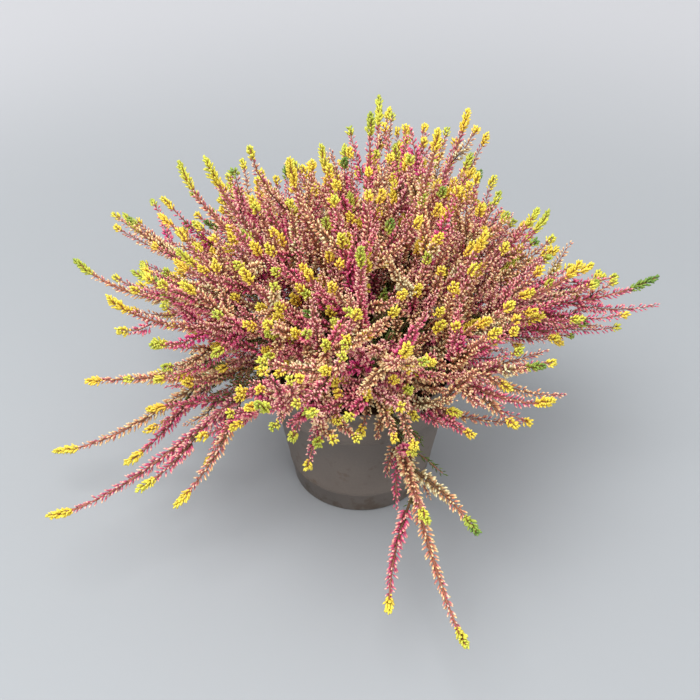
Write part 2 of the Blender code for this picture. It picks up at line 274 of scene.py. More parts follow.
def colour(name, description, *shade):
    """A colour property with its default given as 0 to 255 on screen."""
    return FloatVectorProperty(
        name=name, description=description, subtype="COLOR", min=0, max=1, default=srgb(*shade)
    )


def number(name, description, default, **kind):
    """A property for one number, of the kind that its subtype and unit say."""
    return FloatProperty(name=name, description=description, default=default, **kind)


def angle(name, description, degrees):
    """An angle property with its default given in degrees."""
    return number(name, description, math.radians(degrees), subtype="ANGLE")


length = partial(number, subtype="DISTANCE", unit="LENGTH", min=0)
power = partial(number, unit="POWER", min=0)


# The plan of the sprays, as in the solid model


def pot_radius(height):
    """Outer radius of the tapered wall, below the rim band."""
    band_low = POT_HEIGHT - RIM_BAND
    return BASE_RADIUS + (RIM_RADIUS - RIM_STEP - BASE_RADIUS) * height / band_low


def soil_height(x, y):
    """Height of the soil's crumbly top, which is a little crowned round the stems."""
    share = min(1, math.hypot(x, y) / RIM_RADIUS)
    crumbs = math.sin(310 * x + 1.3) * math.cos(270 * y + 0.4) + math.sin(190 * (x + y))
    return SOIL_TOP + SOIL_CROWN * (1 - share * share) + CRUMB * crumbs * share


def bezier(a, b, c, d, t):
    s = 1 - t
    return a * s**3 + b * (3 * s * s * t) + c * (3 * s * t * t) + d * t**3


def even_axis(controls, lead=()):
    """Points AXIS_STEP apart along a Bezier curve, after any straight lead points."""
    dense = [*lead, *(bezier(*controls, i / CURVE_STEPS) for i in range(CURVE_STEPS + 1))]
    points, travelled = [dense[0]], 0.0
    for before, after in zip(dense, dense[1:]):
        span = (after - before).length
        while travelled + span >= AXIS_STEP:
            before = before.lerp(after, (AXIS_STEP - travelled) / span)
            points.append(before)
            span = (after - before).length
            travelled = 0.0
        travelled += span
    return points


def at(axis, distance):
    """(point, tangent) at this distance along an axis."""
    place = max(0.0, min(distance / AXIS_STEP, len(axis) - 1.001))
    i = int(place)
    j = min(i + 1, len(axis) - 1)
    ahead = axis[min(j + 1, len(axis) - 1)] - axis[max(i - 1, 0)]
    return axis[i].lerp(axis[j], place - i), ahead.normalized()


def length_of(axis):
    return AXIS_STEP * (len(axis) - 1)


class Shoot(namedtuple("Shoot", "spray axis woody leafy tip")):
    """One shoot of a spray: its axis, and how far its bare foot, its leaves and its buds go."""

    def balls(self):
        """(point, radius) along the shoot, as wide as its leaves and buds stand out."""
        made = []
        for i, point in enumerate(self.axis):
            distance = i * AXIS_STEP
            if distance < self.woody:
                made.append((point, STEM_RADIUS))
            elif distance < self.leafy:
                made.append((point, LEAF_REACH))
            else:
                made.append((point, BUD_REACH))
        return made


class Twig(Shoot):
    """A small shoot of the fine model, which may come nearer to its neighbours."""

    def balls(self):
        return [(point, TWIG_ROOM) for point in self.axis]

    def off_pot(self):
        return all(clear_of_pot(point, TWIG_REACH) for point in self.axis[2:])


class Thicket:
    """The space that shoots fill, for keeping each new shoot clear of the others."""

    def __init__(self):
        self.balls = []
        self.tree = KDTree(0)
        self.tree.balance()

    def add(self, *shoots, share=1.0):
        for shoot in shoots:
            self.balls += [(point, share * radius, shoot.spray) for point, radius in shoot.balls()]
        self.tree = KDTree(len(self.balls))
        for i, (point, _, _) in enumerate(self.balls):
            self.tree.insert(point, i)
        self.tree.balance()

    def free(self, shoot):
        """Whether the shoot is clear of all shoots, and past its fork also of its own spray."""
        past_fork = shoot.woody + 2 * BUD_REACH
        for i, (point, radius) in enumerate(shoot.balls()):
            forked = i * AXIS_STEP < past_fork
            for _, index, apart in self.tree.find_range(point, radius + BUD_REACH + CLEARANCE):
                _, other, spray = self.balls[index]
                if apart < radius + other + CLEARANCE and not (forked and spray == shoot.spray):
                    return False
        return True

    def covers(self, point):
        """Whether other shoots near this point stand further out than it does."""
        far = (point - CROWN).length + INSIDE_BY
        near = self.tree.find_range(point, INSIDE_LOOK)
        return sum((other - CROWN).length > far for other, _, _ in near) > 1


CROWN = Vector((0, 0, SOIL_TOP))


def clear_of_pot(point, radius):
    """Whether a ball is above the table and the soil, and in the pot's mouth or outside it."""
    around = math.hypot(point.x, point.y)
    near = radius + CLEARANCE
    if point.z < near:
        return False
    if around < RIM_RADIUS and radius > STEM_RADIUS and point.z < near + SOIL_TOP + SOIL_CROWN:
        return False
    if point.z > POT_HEIGHT + near:
        return True
    return around + near < RIM_RADIUS - WALL - RIM_STEP or around - near > RIM_RADIUS


def stands_clear(shoot, first):
    """Whether the shoot is clear of the pot and the soil, from this distance along it."""
    return all(
        clear_of_pot(point, radius)
        for i, (point, radius) in enumerate(shoot.balls())
        if i * AXIS_STEP > first
    )


def draw_stem(rank, draw):
    """The main stem of a spray: steep at the crown, spread by its rank, and lifted at its end."""
    share = (rank + 0.5) / SPRAYS
    turn = FIRST_TURN + rank * GOLDEN_TURN + math.radians(draw.uniform(*TURN_DEGREES))
    lean = STEEPEST + (FLATTEST - STEEPEST) * share**LEAN_POWER
    lean += math.radians(draw.uniform(*LEAN_DEGREES))
    if rank in TRAILERS:
        lean += TRAILER_DROP
    outward = Vector((math.cos(turn), math.sin(turn), 0))
    across = Vector((-math.sin(turn), math.cos(turn), 0))
    reach = SHORTEST + (LONGEST - SHORTEST) * share**LENGTH_POWER
    reach *= 1 + FREE_SIDE_REACH * outward.dot(FREE_SIDE) * math.sin(lean)
    reach *= draw.uniform(*LENGTH_SHARES)
    lift = math.radians(draw.uniform(*LIFT_DEGREES)) * min(1, lean)
    sway = draw.uniform(*SWAYS)
    root = outward * (CROWN_RADIUS * math.sqrt(share))
    root.z = soil_height(root.x, root.y)
    rise = outward * math.sin(lean * RISE_SHARE) + UP * math.cos(lean * RISE_SHARE)
    spread = outward * math.sin(lean) + UP * math.cos(lean) + across * sway
    finish = outward * math.sin(lean - lift) + UP * math.cos(lean - lift)
    end = root + spread * reach
    bend = BEND_SHARE * reach
    axis = even_axis((root, root + rise * bend, end - finish * bend, end), [root - UP * ROOTED])
    whole = length_of(axis)
    leafy = ROOTED + LEAFY_SHARE * (whole - ROOTED) * draw.uniform(*LEAFY_SPREAD)
    return Shoot(rank, axis, ROOTED + WOODY_LENGTH, leafy, whole - draw.uniform(*STEM_TIPS))


def draw_fork(parent, start, whole, lengths, angles, lift, draw):
    """(axis, end) of a side shoot that leaves its parent at a fork, and then bends to run more
    nearly along it. It reaches as far as a drawn share of this whole.
    """
    point, along = at(parent, start)
    aside = Quaternion(along, draw.uniform(0, math.tau)) @ along.orthogonal().normalized()
    reach = whole * draw.uniform(*lengths)
    fork, last = (math.radians(draw.uniform(*each)) for each in angles)
    leave = along * math.cos(fork) + aside * math.sin(fork)
    finish = (along * math.cos(last) + aside * math.sin(last) + UP * lift).normalized()
    end = point + (leave + finish).normalized() * reach
    bend = SIDE_BEND_SHARE * reach
    return even_axis((point, point + leave * bend, end - finish * bend, end)), end


def draw_side(stem, forks, lengths, draw):
    """A side spike of a spray's stem."""
    whole = length_of(stem.axis)
    start = ROOTED + draw.uniform(*forks) * (whole - ROOTED)
    axis, _ = draw_fork(stem.axis, start, whole - start, lengths, SIDE_DEGREES, SIDE_LIFT, draw)
    tip = length_of(axis) - draw.uniform(*SIDE_TIPS)
    return Shoot(stem.spray, axis, BARE_FORK, BARE_FORK, tip)


def first_clear(trials, make, thicket, first):
    """The first of so many drawn shoots that is clear of the pot and of the thicket."""
    for _ in range(trials):
        shoot = make()
        if stands_clear(shoot, first) and thicket.free(shoot):
            return shoot
    return None


def plan_spikes(thicket):
    """The stem of each spray, placed clear of each other, and then its side spikes in rounds."""
    draw = random.Random(SEED)
    stems = []
    for rank in range(SPRAYS):
        stems.append(first_clear(STEM_TRIALS, partial(draw_stem, rank, draw), thicket, ROOTED))
        thicket.add(stems[-1])
    sides = [[] for _ in stems]
    for forks, lengths in zip(SIDE_FORKS, SIDE_LENGTHS):
        for stem in stems:
            make = partial(draw_side, stem, forks, lengths, draw)
            side = first_clear(SIDE_TRIALS, make, thicket, 0)
            if side:
                thicket.add(side)
                sides[stem.spray].append(side)
    return stems, sides


# The twigs that fill the plant between its spikes


def draw_twig(parents, layer, draw):
    """A short shoot that forks from one of these. The further out it ends, the more often it has a
    young tip.
    """
    parent = draw.choice(parents)
    start = draw.uniform(*(share * length_of(parent.axis) for share in layer.starts))
    axis, end = draw_fork(parent.axis, start, 1, layer.lengths, TWIG_DEGREES, layer.lift, draw)
    chance = draw.random()
    shortest, near = TWIG_TIP_LENGTHS[0], TIPPED_FROM[0]
    young = draw.uniform(*TWIG_TIP_LENGTHS) if chance < LONG_TIP_SHARE else shortest
    outer = ((end - CROWN).length - near) / (TIPPED_FROM[1] - near)
    tipped = chance < min(TIPPED_OUTSIDE, max(TIPPED_INSIDE, TIPPED_OUTSIDE * outer))
    return Twig(parent.spray, axis, 0, TWIG_BARE, length_of(axis) - young * tipped)


def plan_twigs(thicket, parents, layer, draw):
    """A layer's rounds of one twig for each spray, each clear of what stands before its round."""
    twigs = [[] for _ in parents]
    for _ in range(layer.rounds):
        grown = []
        for own, made in zip(parents, twigs):
            for _ in range(TWIG_TRIALS if own else 0):
                twig = draw_twig(own, layer, draw)
                if thicket.covers(twig.axis[-1]) and twig.off_pot() and thicket.free(twig):
                    made.append(twig)
                    grown.append(twig)
                    break
        thicket.add(*grown)
    return twigs


Spray = namedtuple("Spray", "stem sides twigs shoots")


@lru_cache(maxsize=1)
def plan():
    """The whole plant as a list of sprays."""
    stems, sides = plan_spikes(Thicket())
    draw = random.Random(TWIG_SEED)
    spikes = [[stem, *own] for stem, own in zip(stems, sides)]
    thicket = Thicket()
    thicket.add(*(spike for own in spikes for spike in own), share=SPIKE_ROOM)
    lower = [[stem] for stem in stems]
    shoots = plan_twigs(thicket, lower, SHOOTS, draw)
    outer = [own if own[0].spray >= SKIRT_RANK else [] for own in lower]
    skirts = plan_twigs(thicket, outer, SKIRTS, draw)
    twigs = plan_twigs(thicket, spikes, TWIGS, draw)
    twigs = [low + high for low, high in zip(skirts, twigs)]
    for rank in TRAILERS:
        twigs[rank] = [twig for twig in twigs[rank] if (twig.axis[0] - CROWN).length < TRAILER_BARE]
    return [Spray(*own) for own in zip(stems, sides, twigs, shoots)]


# Small forms, and their copies gathered into one mesh

Form = namedtuple("Form", "points faces places")


def spindle(sides, rings, bow=0.0):
    """A closed form from (0, 0, 0) to (0, bow, 1), through rings of (height, radius).

    Its places on the finish map are (turn, height) for each corner of each face, with the turn
    from -1/2 to 1/2.
    """
    turns = (np.arange(sides) + 0.5) / sides
    points = [(0.0, 0.0, 0.0)]
    for height, radius in rings:
        for turn in turns * math.tau:
            x, y = radius * math.cos(turn), radius * math.sin(turn)
            points.append((x, y + bow * height**2, height))
    points.append((0.0, bow, 1.0))
    heights = [0.0, *(height for height, _ in rings), 1.0]
    faces, places = [], []
    for i in range(sides):
        j = (i + 1) % sides
        left, right = i / sides - 0.5, (i + 1) / sides - 0.5
        middle = (left + right) / 2
        faces.append((0, 1 + j, 1 + i))
        places.append(((middle, 0.0), (right, heights[1]), (left, heights[1])))
        for k in range(len(rings) - 1):
            a, b = 1 + k * sides + i, 1 + k * sides + j
            low, high = heights[k + 1], heights[k + 2]
            faces += [(a, b, b + sides), (a, b + sides, a + sides)]
            places.append(((left, low), (right, low), (right, high)))
            places.append(((left, low), (right, high), (left, high)))
        last = 1 + (len(rings) - 1) * sides
        faces.append((last + i, last + j, len(points) - 1))
        places.append(((left, heights[-2]), (right, heights[-2]), (middle, 1.0)))
    return Form(np.array(points), np.array(faces), np.array(places))


BUD = spindle(4, [(0.38, 0.92), (0.82, 0.78)], bow=0.5)
YOUNG_LEAF = spindle(4, [(0.40, 0.92), (0.84, 0.80)], bow=0.5)
TWIG_FORM = spindle(4, [(0.66, 1.0)], bow=0.5)
SCALE_LEAF = spindle(4, [(0.42, 1.0)], bow=0.3)


class Growth:
    """Copies of forms and tubes gathered into one mesh, each with its tone on the finish map."""

    def __init__(self):
        self.points, self.faces, self.places, self.slots = [], [], [], []
        self.count = 0

    def add(self, points, faces, places, slot=0):
        self.points.append(points)
        self.faces.append(faces + self.count)
        self.places.append(places)
        self.slots.append(np.full(len(faces), slot, np.int32))
        self.count += len(points)

    def copies(self, form, centres, axes, sizes, tones, slot=0):
        """One copy of a form for each centre, with rows of axes as its sides, sized and toned."""
        local = form.points[None] * np.stack(sizes, 1)[:, None, :]
        points = centres[:, None, :] + np.einsum("kpj,kji->kpi", local, axes)
        starts = len(form.points) * np.arange(len(centres))
        faces = form.faces[None] + starts[:, None, None]
        places = np.empty((len(centres), *form.places.shape))
        places[..., 0] = tones[:, None, None] + COLUMN_WIDTH * form.places[None, ..., 0]
        places[..., 1] = form.places[None, ..., 1]
        self.add(points.reshape(-1, 3), faces.reshape(-1, 3), places.reshape(-1, 3, 2), slot)

    def tube(self, spike, end, sides, step, radii, tone):
        """A closed tube along a spike up to this end, from one radius to another."""
        count = max(3, round(end / step))
        share = np.linspace(0, 1, count)
        centre, _, normal, across = spike.frame(end * share)
        radius = radii[0] + (radii[1] - radii[0]) * share
        turn = (math.tau * np.arange(sides) / sides)[None, :, None]
        ring = np.cos(turn) * normal[:, None] + np.sin(turn) * across[:, None]
        points = centre[:, None] + ring * radius[:, None, None]
        rows, columns = np.meshgrid(np.arange(count - 1), np.arange(sides), indexing="ij")
        after = (columns + 1) % sides
        a, b = rows * sides + columns, rows * sides + after
        faces = np.stack([a, b, b + sides, a, b + sides, a + sides], -1).reshape(-1, 3)
        left, right = columns / sides - 0.5, (columns + 1) / sides - 0.5
        low, high = share[rows], share[rows + 1]
        foot, top = [(left, low), (right, low), (right, high)], (left, high)
        corners = [*foot, foot[0], foot[2], top]
        places = np.stack([np.stack(each, -1) for each in corners], 2).reshape(-1, 3, 2)
        fan, last = np.arange(1, sides - 1), (count - 1) * sides
        ends = [(0 * fan, fan + 1, fan), (last + 0 * fan, last + fan, last + fan + 1)]
        faces = np.concatenate([faces, *(np.stack(each, -1) for each in ends)])
        closing = np.tile([[-0.5, 0.0], [0.0, 0.02], [0.5, 0.0]], (2 * (sides - 2), 1, 1))
        closing[sides - 2 :, :, 1] = 1 - closing[sides - 2 :, :, 1]
        places = np.concatenate([places, closing])
        places[..., 0] = tone + COLUMN_WIDTH * places[..., 0]
        self.add(points.reshape(-1, 3), faces, places)

    def piece(self, name, *finishes):
        """The gathered mesh as a smooth object that wears these materials."""
        points = np.concatenate(self.points).astype(np.float32)
        faces = np.concatenate(self.faces).astype(np.int32)
        mesh = bpy.data.meshes.new(name)
        mesh.vertices.add(len(points))
        mesh.vertices.foreach_set("co", points.ravel())
        mesh.loops.add(3 * len(faces))
        mesh.loops.foreach_set("vertex_index", faces.ravel())
        mesh.polygons.add(len(faces))
        mesh.polygons.foreach_set("loop_start", np.arange(0, 3 * len(faces), 3, dtype=np.int32))
        mesh.polygons.foreach_set("material_index", np.concatenate(self.slots))
        mesh.update(calc_edges=True)
        places = mesh.uv_layers.new(name=FINISH_MAP)
        places.uv.foreach_set("vector", np.concatenate(self.places).astype(np.float32).ravel())
        return placed(name, mesh, finishes)


def placed(name, mesh, finishes):
    """A mesh as a smooth object in the scene, with these materials."""
    mesh.shade_smooth()
    for finish in finishes:
        mesh.materials.append(finish)
    made = bpy.data.objects.new(name, mesh)
    bpy.context.scene.collection.objects.link(made)
    return made


def unit(vectors):
    return vectors / np.maximum(np.linalg.norm(vectors, axis=-1, keepdims=True), 1e-9)


class Spike:
    """A shoot's axis as arrays, with a frame along it that doesn't twist, and its looks."""

    def __init__(self, shoot, tone, tip_tone):
        self.tone = tone
        self.tip_tone = tip_tone
        self.leafy = shoot.leafy
        self.woody = shoot.woody
        self.tip = shoot.tip
        self.end = length_of(shoot.axis)
        self.points = np.array([tuple(point) for point in shoot.axis])
        self.tangents = unit(np.gradient(self.points, axis=0))
        normals = [np.array(Vector(self.tangents[0]).orthogonal().normalized())]
        for tangent in self.tangents[1:]:
            normal = normals[-1] - tangent * normals[-1].dot(tangent)
            normals.append(normal / np.linalg.norm(normal))
        self.normals = np.array(normals)

    def frame(self, distance):
        """(centre, tangent, normal, across) at each of these distances."""
        place = np.clip(np.asarray(distance) / AXIS_STEP, 0, len(self.points) - 1.001)
        i = place.astype(int)
        part = (place - i)[:, None]
        rows = (self.points, self.tangents, self.normals)
        centre, tangent, normal = (row[i] * (1 - part) + row[i + 1] * part for row in rows)
        tangent, normal = unit(tangent), unit(normal)
        return centre, tangent, normal, np.cross(tangent, normal)

    def ranks(self, start, end, pitch, habit, draw, airy=0.0):
        """(distance, turn, share) of crossed pairs between two distances, airier at the last."""
        count = max(1, round((end - start) / (pitch * (1 + AIRY_PITCH * airy))))
        share = np.repeat((np.arange(count) + 0.5) / count, 2)
        share = share + FOOT_CROWDING * (share**2 - share) + airy * (share**4 - share)
        turn = np.repeat(np.arange(count) * (math.pi / 2 + habit.drift), 2)
        turn = turn + np.tile((0, math.pi), count)
        distance = start + (end - start) * share + draw.normal(0, pitch / 3, 2 * count)
        turn = turn + draw.normal(0, TURN_SPREAD, 2 * count) + draw.uniform(0, math.tau)
        return distance, turn, share

    def stand(self, distance, turn, lean, habit, draw):
        """(centres, axes) of what grows at these places, leaning out from the axis."""
        centre, tangent, normal, across = self.frame(distance)
        out = normal * np.cos(turn)[:, None] + across * np.sin(turn)[:, None]
        way = tangent * np.cos(lean)[:, None] + out * np.sin(lean)[:, None]
        way = unit(way + draw.normal(0, habit.way, way.shape))
        side = np.cross(tangent, out)
        side = unit(side - way * (side * way).sum(1)[:, None])
        return centre + out * habit.foot, np.stack([side, np.cross(way, side), way], 1)


# Materials


def maths(operation, reflected=False):
    """An operator between a wire and a wire or number, and its form with the number first."""

    def add_node(wire, other):
        values = {0: other, 1: wire} if reflected else {0: wire, 1: other}
        return wire.finish.node("ShaderNodeMath", {"operation": operation}, values)

    return add_node


class Wire:
    """A shader socket that takes part in Python sums by adding Math nodes to its tree."""

    def __init__(self, finish, socket):
        self.finish = finish
        self.socket = socket

    __add__, __radd__ = maths("ADD"), maths("ADD", reflected=True)
    __sub__, __rsub__ = maths("SUBTRACT"), maths("SUBTRACT", reflected=True)
    __mul__, __rmul__ = maths("MULTIPLY"), maths("MULTIPLY", reflected=True)
    __truediv__, __rtruediv__ = maths("DIVIDE"), maths("DIVIDE", reflected=True)


class Finish:
    """A Principled material, built by adding nodes and sums of their sockets."""

    def __init__(self, name, roughness=0.5, specular=0.5):
        self.material = bpy.data.materials.new(name)
        self.material.use_nodes = True
        self.tree = self.material.node_tree
        self.shader = self.tree.nodes["Principled BSDF"]
        self.shader.inputs["Roughness"].default_value = roughness
        self.shader.inputs["Specular IOR Level"].default_value = specular

    def node(self, kind, settings=None, inputs=None, output=0):
        """The output of a new node of this type, after its settings and then its inputs."""
        made = self.tree.nodes.new(kind)
        for name, value in (settings or {}).items():
            if name == "stops":
                self.set_stops(made.color_ramp, value)
            else:
                setattr(made, name, value)
        for socket, value in (inputs or {}).items():
            self.join(value, made.inputs[socket])
        return Wire(self, made.outputs[output])

    def set_stops(self, ramp, stops):
        while len(ramp.elements) < len(stops):
            ramp.elements.new(1.0)
        for element, (place, shade) in zip(ramp.elements, stops):
            element.position = place
            element.color = (*shade, 1.0) if hasattr(shade, "__len__") else (shade,) * 3 + (1.0,)

    def join(self, value, socket):
        if isinstance(value, Wire):
            self.tree.links.new(value.socket, socket)
        elif socket.type == "RGBA" and len(value) == 3:
            socket.default_value = (*value, 1.0)
        else:
            socket.default_value = value

    def feed(self, socket, value):
        """Joins a value to a socket of the Principled shader."""
        self.join(value, self.shader.inputs[socket])

    def mix(self, share, first, second, blend="MIX"):
        """Two colours mixed, as a colour."""
        settings = {"data_type": "RGBA", "blend_type": blend}
        inputs = {MIX_SHARE: share, MIX_FIRST: first, MIX_SECOND: second}
        return self.node("ShaderNodeMix", settings, inputs, MIX_COLOUR)

    def ramp(self, value, stops):
        return self.node("ShaderNodeValToRGB", {"stops": stops}, {0: value})

    def mottled(self, shade, cloud, darkest, palest):
        """A colour that a noise darkens and lightens between these shares of it."""
        return self.mix(1.0, shade, self.ramp(cloud, [(0.3, darkest), (0.7, palest)]), "MULTIPLY")

    def between(self, value, low, high):
        """A smooth step from 0 at low to 1 at high."""
        settings = {"interpolation_type": "SMOOTHSTEP"}
        return self.node("ShaderNodeMapRange", settings, {0: value, 1: low, 2: high})

    def noise(self, place, scale, detail, dimensions="3D"):
        socket = "W" if dimensions == "1D" else "Vector"
        inputs = {socket: place, "Scale": scale, "Detail": detail}
        return self.node("ShaderNodeTexNoise", {"noise_dimensions": dimensions}, inputs)

    def part(self, vector, axis):
        return self.node("ShaderNodeSeparateXYZ", None, {0: vector}, axis)

    def finish_place(self):
        """(tone, place along the form) from the finish map."""
        place = self.node("ShaderNodeUVMap", {"uv_map": FINISH_MAP})
        return self.part(place, "X"), self.part(place, "Y")

    def own_place(self):
        return self.node("ShaderNodeTexCoord", output="Object")

    def feed_bump(self, height, strength, distance):
        inputs = {"Strength": strength, "Distance": distance, "Height": height}
        self.feed("Normal", self.node("ShaderNodeBump", None, inputs))


def stops_of(shades, group, tones):
    """The stops of a ramp through a group of the user's colours, each at its tone."""
    return [(tone, getattr(shades, f"{group}_{name}")) for name, tone in tones.items()]


def bud_finish(shades):
    """Buds: a tan neck, a body in the spike's shade and a paler point, no two just the same."""
    finish = Finish("heather_buds", roughness=0.52, specular=0.35)
    tone, along = finish.finish_place()
    body = finish.ramp(tone, stops_of(shades, "bud", BUD_TONES))
    point = finish.ramp(tone, stops_of(shades, "point", BUD_TONES))
    neck = finish.mix(0.75, body, shades.bud_neck)
    own = finish.noise(tone, 170.0, 1.0, "1D")
    pale = finish.between(along + (own - 0.5) * 0.7, 0.52, 0.88)
    shade = finish.mix(pale, body, point)
    shade = finish.mix(finish.between(along, 0.46, 0.16), shade, neck)
    depth = finish.noise(tone + 7.3, 90.0, 1.0, "1D")
    finish.feed("Base Color", finish.mottled(shade, depth, 0.86, 1.10))
    return finish.material


def young_finish(shades):
    """Young tips: amber, gold, lime or green by their tone, deeper at each leaf's foot."""
    finish = Finish("heather_young_leaves", roughness=0.48, specular=0.4)
    tone, along = finish.finish_place()
    leaf = finish.ramp(tone, stops_of(shades, "tip", TIP_TONES))
    foot = finish.mix(1.0, leaf, shades.tip_foot, "MULTIPLY")
    shade = finish.mix(finish.between(along, 0.0, 0.5), foot, leaf)
    own = finish.noise(tone, 140.0, 1.0, "1D")
    finish.feed("Base Color", finish.mottled(shade, own, 0.90, 1.06))
    return finish.material


def leaf_finish(shades):
    """Old scale leaves on the lower stems: dark green, some of them browned."""
    finish = Finish("heather_old_leaves", roughness=0.55, specular=0.35)
    column, along = finish.finish_place()
    low, high = LEAF_COLUMNS
    tone = (column - low) / (high - low)
    stops = [(0.0, shades.leaf_brown), (0.25, shades.leaf_dark), (1.0, shades.leaf_fresh)]
    fresh = finish.between(along, 0.55, 1.0) * 0.35
    finish.feed("Base Color", finish.mix(fresh, finish.ramp(tone, stops), shades.leaf_fresh))
    return finish.material


def bark_finish(shades):
    """Stems: grey-brown wood at the foot, and paler, redder bark towards the tip."""
    finish = Finish("heather_bark", roughness=0.8, specular=0.2)
    column, along = finish.finish_place()
    low, high = BARK_COLUMNS
    tone = (column - low) / (high - low)
    streak = finish.noise(along * 40.0 + column * 200.0, 2.0, 2.0, "1D")
    wood = finish.mottled(finish.mix(tone, shades.bark_dark, shades.bark_pale), streak, 0.65, 1.2)
    young = finish.between(along, 0.25, 0.9)
    finish.feed("Base Color", finish.mix(young, wood, shades.bark_young))
    return finish.material


def pot_finish(shades):
    """Thin moulded plastic: a satin taupe with flow marks, scuffs and a little peat dust."""
    finish = Finish("pot_plastic_taupe", specular=0.45)
    place = finish.own_place()
    height = finish.part(place, "Z")
    cloud = finish.noise(place, 38.0, 3.0)
    grain = finish.noise(place, 900.0, 2.0)
    shade = finish.mix(cloud, shades.pot_dark, shades.pot_pale)
    shade = finish.mottled(shade, grain, 0.94, 1.04)
    dust = finish.noise(place, 130.0, 5.0)
    low = finish.between(height, 0.020, 0.0)
    high = finish.between(height, 0.082, 0.0935)
    smear = finish.between(dust + (low + high) * 0.16, 0.60, 0.78) * 0.55
    finish.feed("Base Color", finish.mix(smear, shade, shades.pot_dust))
    finish.feed("Roughness", finish.ramp(cloud + smear * 0.5, [(0.3, 0.40), (0.8, 0.62)]))
    stretch = {"Vector": place, "Scale": (1.0, 1.0, 0.06)}
    flow = finish.noise(finish.node("ShaderNodeMapping", None, stretch), 420.0, 2.0)
    finish.feed_bump(flow + grain * 0.5, strength=0.25, distance=0.0004)
    return finish.material


def peat_finish(shades):
    """Peat: dark brown crumbs with paler dry ones and fine fibres."""
    finish = Finish("peat_crumbs", roughness=0.95, specular=0.15)
    place = finish.own_place()
    clod = finish.noise(place, 260.0, 4.0)
    grit = finish.noise(place, 1400.0, 3.0)
    stops = [(0.35, shades.peat_dark), (0.56, shades.peat_brown), (0.75, shades.peat_dry)]
    finish.feed("Base Color", finish.mottled(finish.ramp(clod, stops), grit, 0.6, 1.3))
    finish.feed_bump(clod + grit * 0.4, strength=0.6, distance=0.0008)
    return finish.material


# User settings


class HeatherShades(bpy.types.PropertyGroup):
    """Colours of the plant and its pot"""

    bud_greenish: colour("Greenish bud", "Body of the palest, oldest buds", 190, 168, 118)
    bud_cream: colour("Cream bud", "Body of the cream buds", 222, 144, 110)
    bud_dusky: colour("Dusky bud", "Body of the small buds under a tip", 182, 80, 116)
    bud_rose: colour("Rose bud", "Body of the rose buds", 214, 76, 122)
    bud_magenta: colour("Magenta bud", "Body of the deepest buds", 206, 42, 120)
    point_greenish: colour("Greenish point", "Point of the palest buds", 238, 232, 188)
    point_cream: colour("Cream point", "Point of the cream buds", 247, 220, 154)
    point_dusky: colour("Dusky point", "Point of the small buds under a tip", 238, 194, 174)
    point_rose: colour("Rose point", "Point of the rose buds", 240, 172, 152)
    point_magenta: colour("Magenta point", "Point of the deepest buds", 226, 106, 150)
    bud_neck: colour("Neck", "Foot of every bud", 152, 110, 64)
    tip_amber: colour("Amber tip", "Warmest young leaves", 238, 192, 74)
    tip_gold: colour("Gold tip", "Most young leaves", 240, 214, 76)
    tip_lime: colour("Lime tip", "Young leaves far out", 206, 208, 80)
    tip_green: colour("Green tip", "Greenest young leaves", 108, 142, 60)
    tip_foot: colour("Tip foot", "Tint of a young leaf's foot", 238, 214, 150)
    leaf_brown: colour("Browned leaf", "Oldest scale leaves", 92, 64, 40)
    leaf_dark: colour("Dark leaf", "Old scale leaves", 70, 88, 38)
    leaf_fresh: colour("Fresh leaf", "Greenest scale leaves", 112, 134, 56)
    bark_dark: colour("Dark bark", "Foot of the stems", 78, 56, 40)
    bark_pale: colour("Pale bark", "Weathered stems", 138, 106, 78)
    bark_young: colour("Young bark", "Ends of the stems", 158, 100, 82)
    pot_dark: colour("Pot, darker", "Darker clouds of the plastic", 98, 89, 82)
    pot_pale: colour("Pot, paler", "Paler clouds of the plastic", 120, 110, 102)
    pot_dust: colour("Pot dust", "Dried peat on the plastic", 88, 70, 52)
    peat_dark: colour("Peat, dark", "Damp peat", 32, 21, 14)
    peat_brown: colour("Peat, brown", "Most of the peat", 62, 42, 28)
    peat_dry: colour("Peat, dry", "Dry crumbs", 112, 84, 58)
    # The two floor colours are painted light: a painted shade near the plant, and a painted paler
    # light behind it and on the wall
    floor_near_painted_shade: colour("Near floor", "Floor under and round the plant", 154, 157, 160)
    floor_far_painted_light: colour("Far floor", "Backdrop that the floor runs into", 194, 194, 197)


class HeatherGrowth(bpy.types.PropertyGroup):
    """Sizes of what grows on the spikes"""

    bud_length: length("Bud length", "Length of a full bud with its neck", 0.0054)
    bud_width: length("Bud width", "Width of a full bud", 0.00165)
    bud_pitch: length("Bud pitch", "Distance between pairs of buds along a spike", 0.00090)
    twig_pitch: length("Twig pitch", "Distance between pairs of buds along a short twig", 0.00098)
    bud_lean: angle("Bud lean", "Lean of the lowest buds from the spike", 57)
    young_length: length("Young leaf length", "Length of a leaf at a tip's foot", 0.0045)
    young_width: length("Young leaf width", "Width of a leaf at a tip's foot", 0.0017)
    young_pitch: length("Young leaf pitch", "Distance between pairs of young leaves", 0.00058)
    leaf_length: length("Leaf length", "Length of an old scale leaf", 0.0030)
    leaf_width: length("Leaf width", "Width of an old scale leaf", 0.0011)
    leaf_pitch: length("Leaf pitch", "Distance between pairs of old leaves", 0.00130)
    seed: IntProperty(name="Seed", description="Seed of the small variations", default=5)


class HeatherPot(bpy.types.PropertyGroup):
    """The pot and its peat"""

    round_steps: IntProperty(name="Steps", description="Steps round the pot", default=144, min=24)
    line_depth: length("Line depth", "Height of the moulded lines on the wall", 0.00025)
    crumbs: IntProperty(name="Crumbs", description="Loose crumbs on the peat", default=520, min=0)
    fibres: IntProperty(name="Fibres", description="Loose fibres on the peat", default=90, min=0)


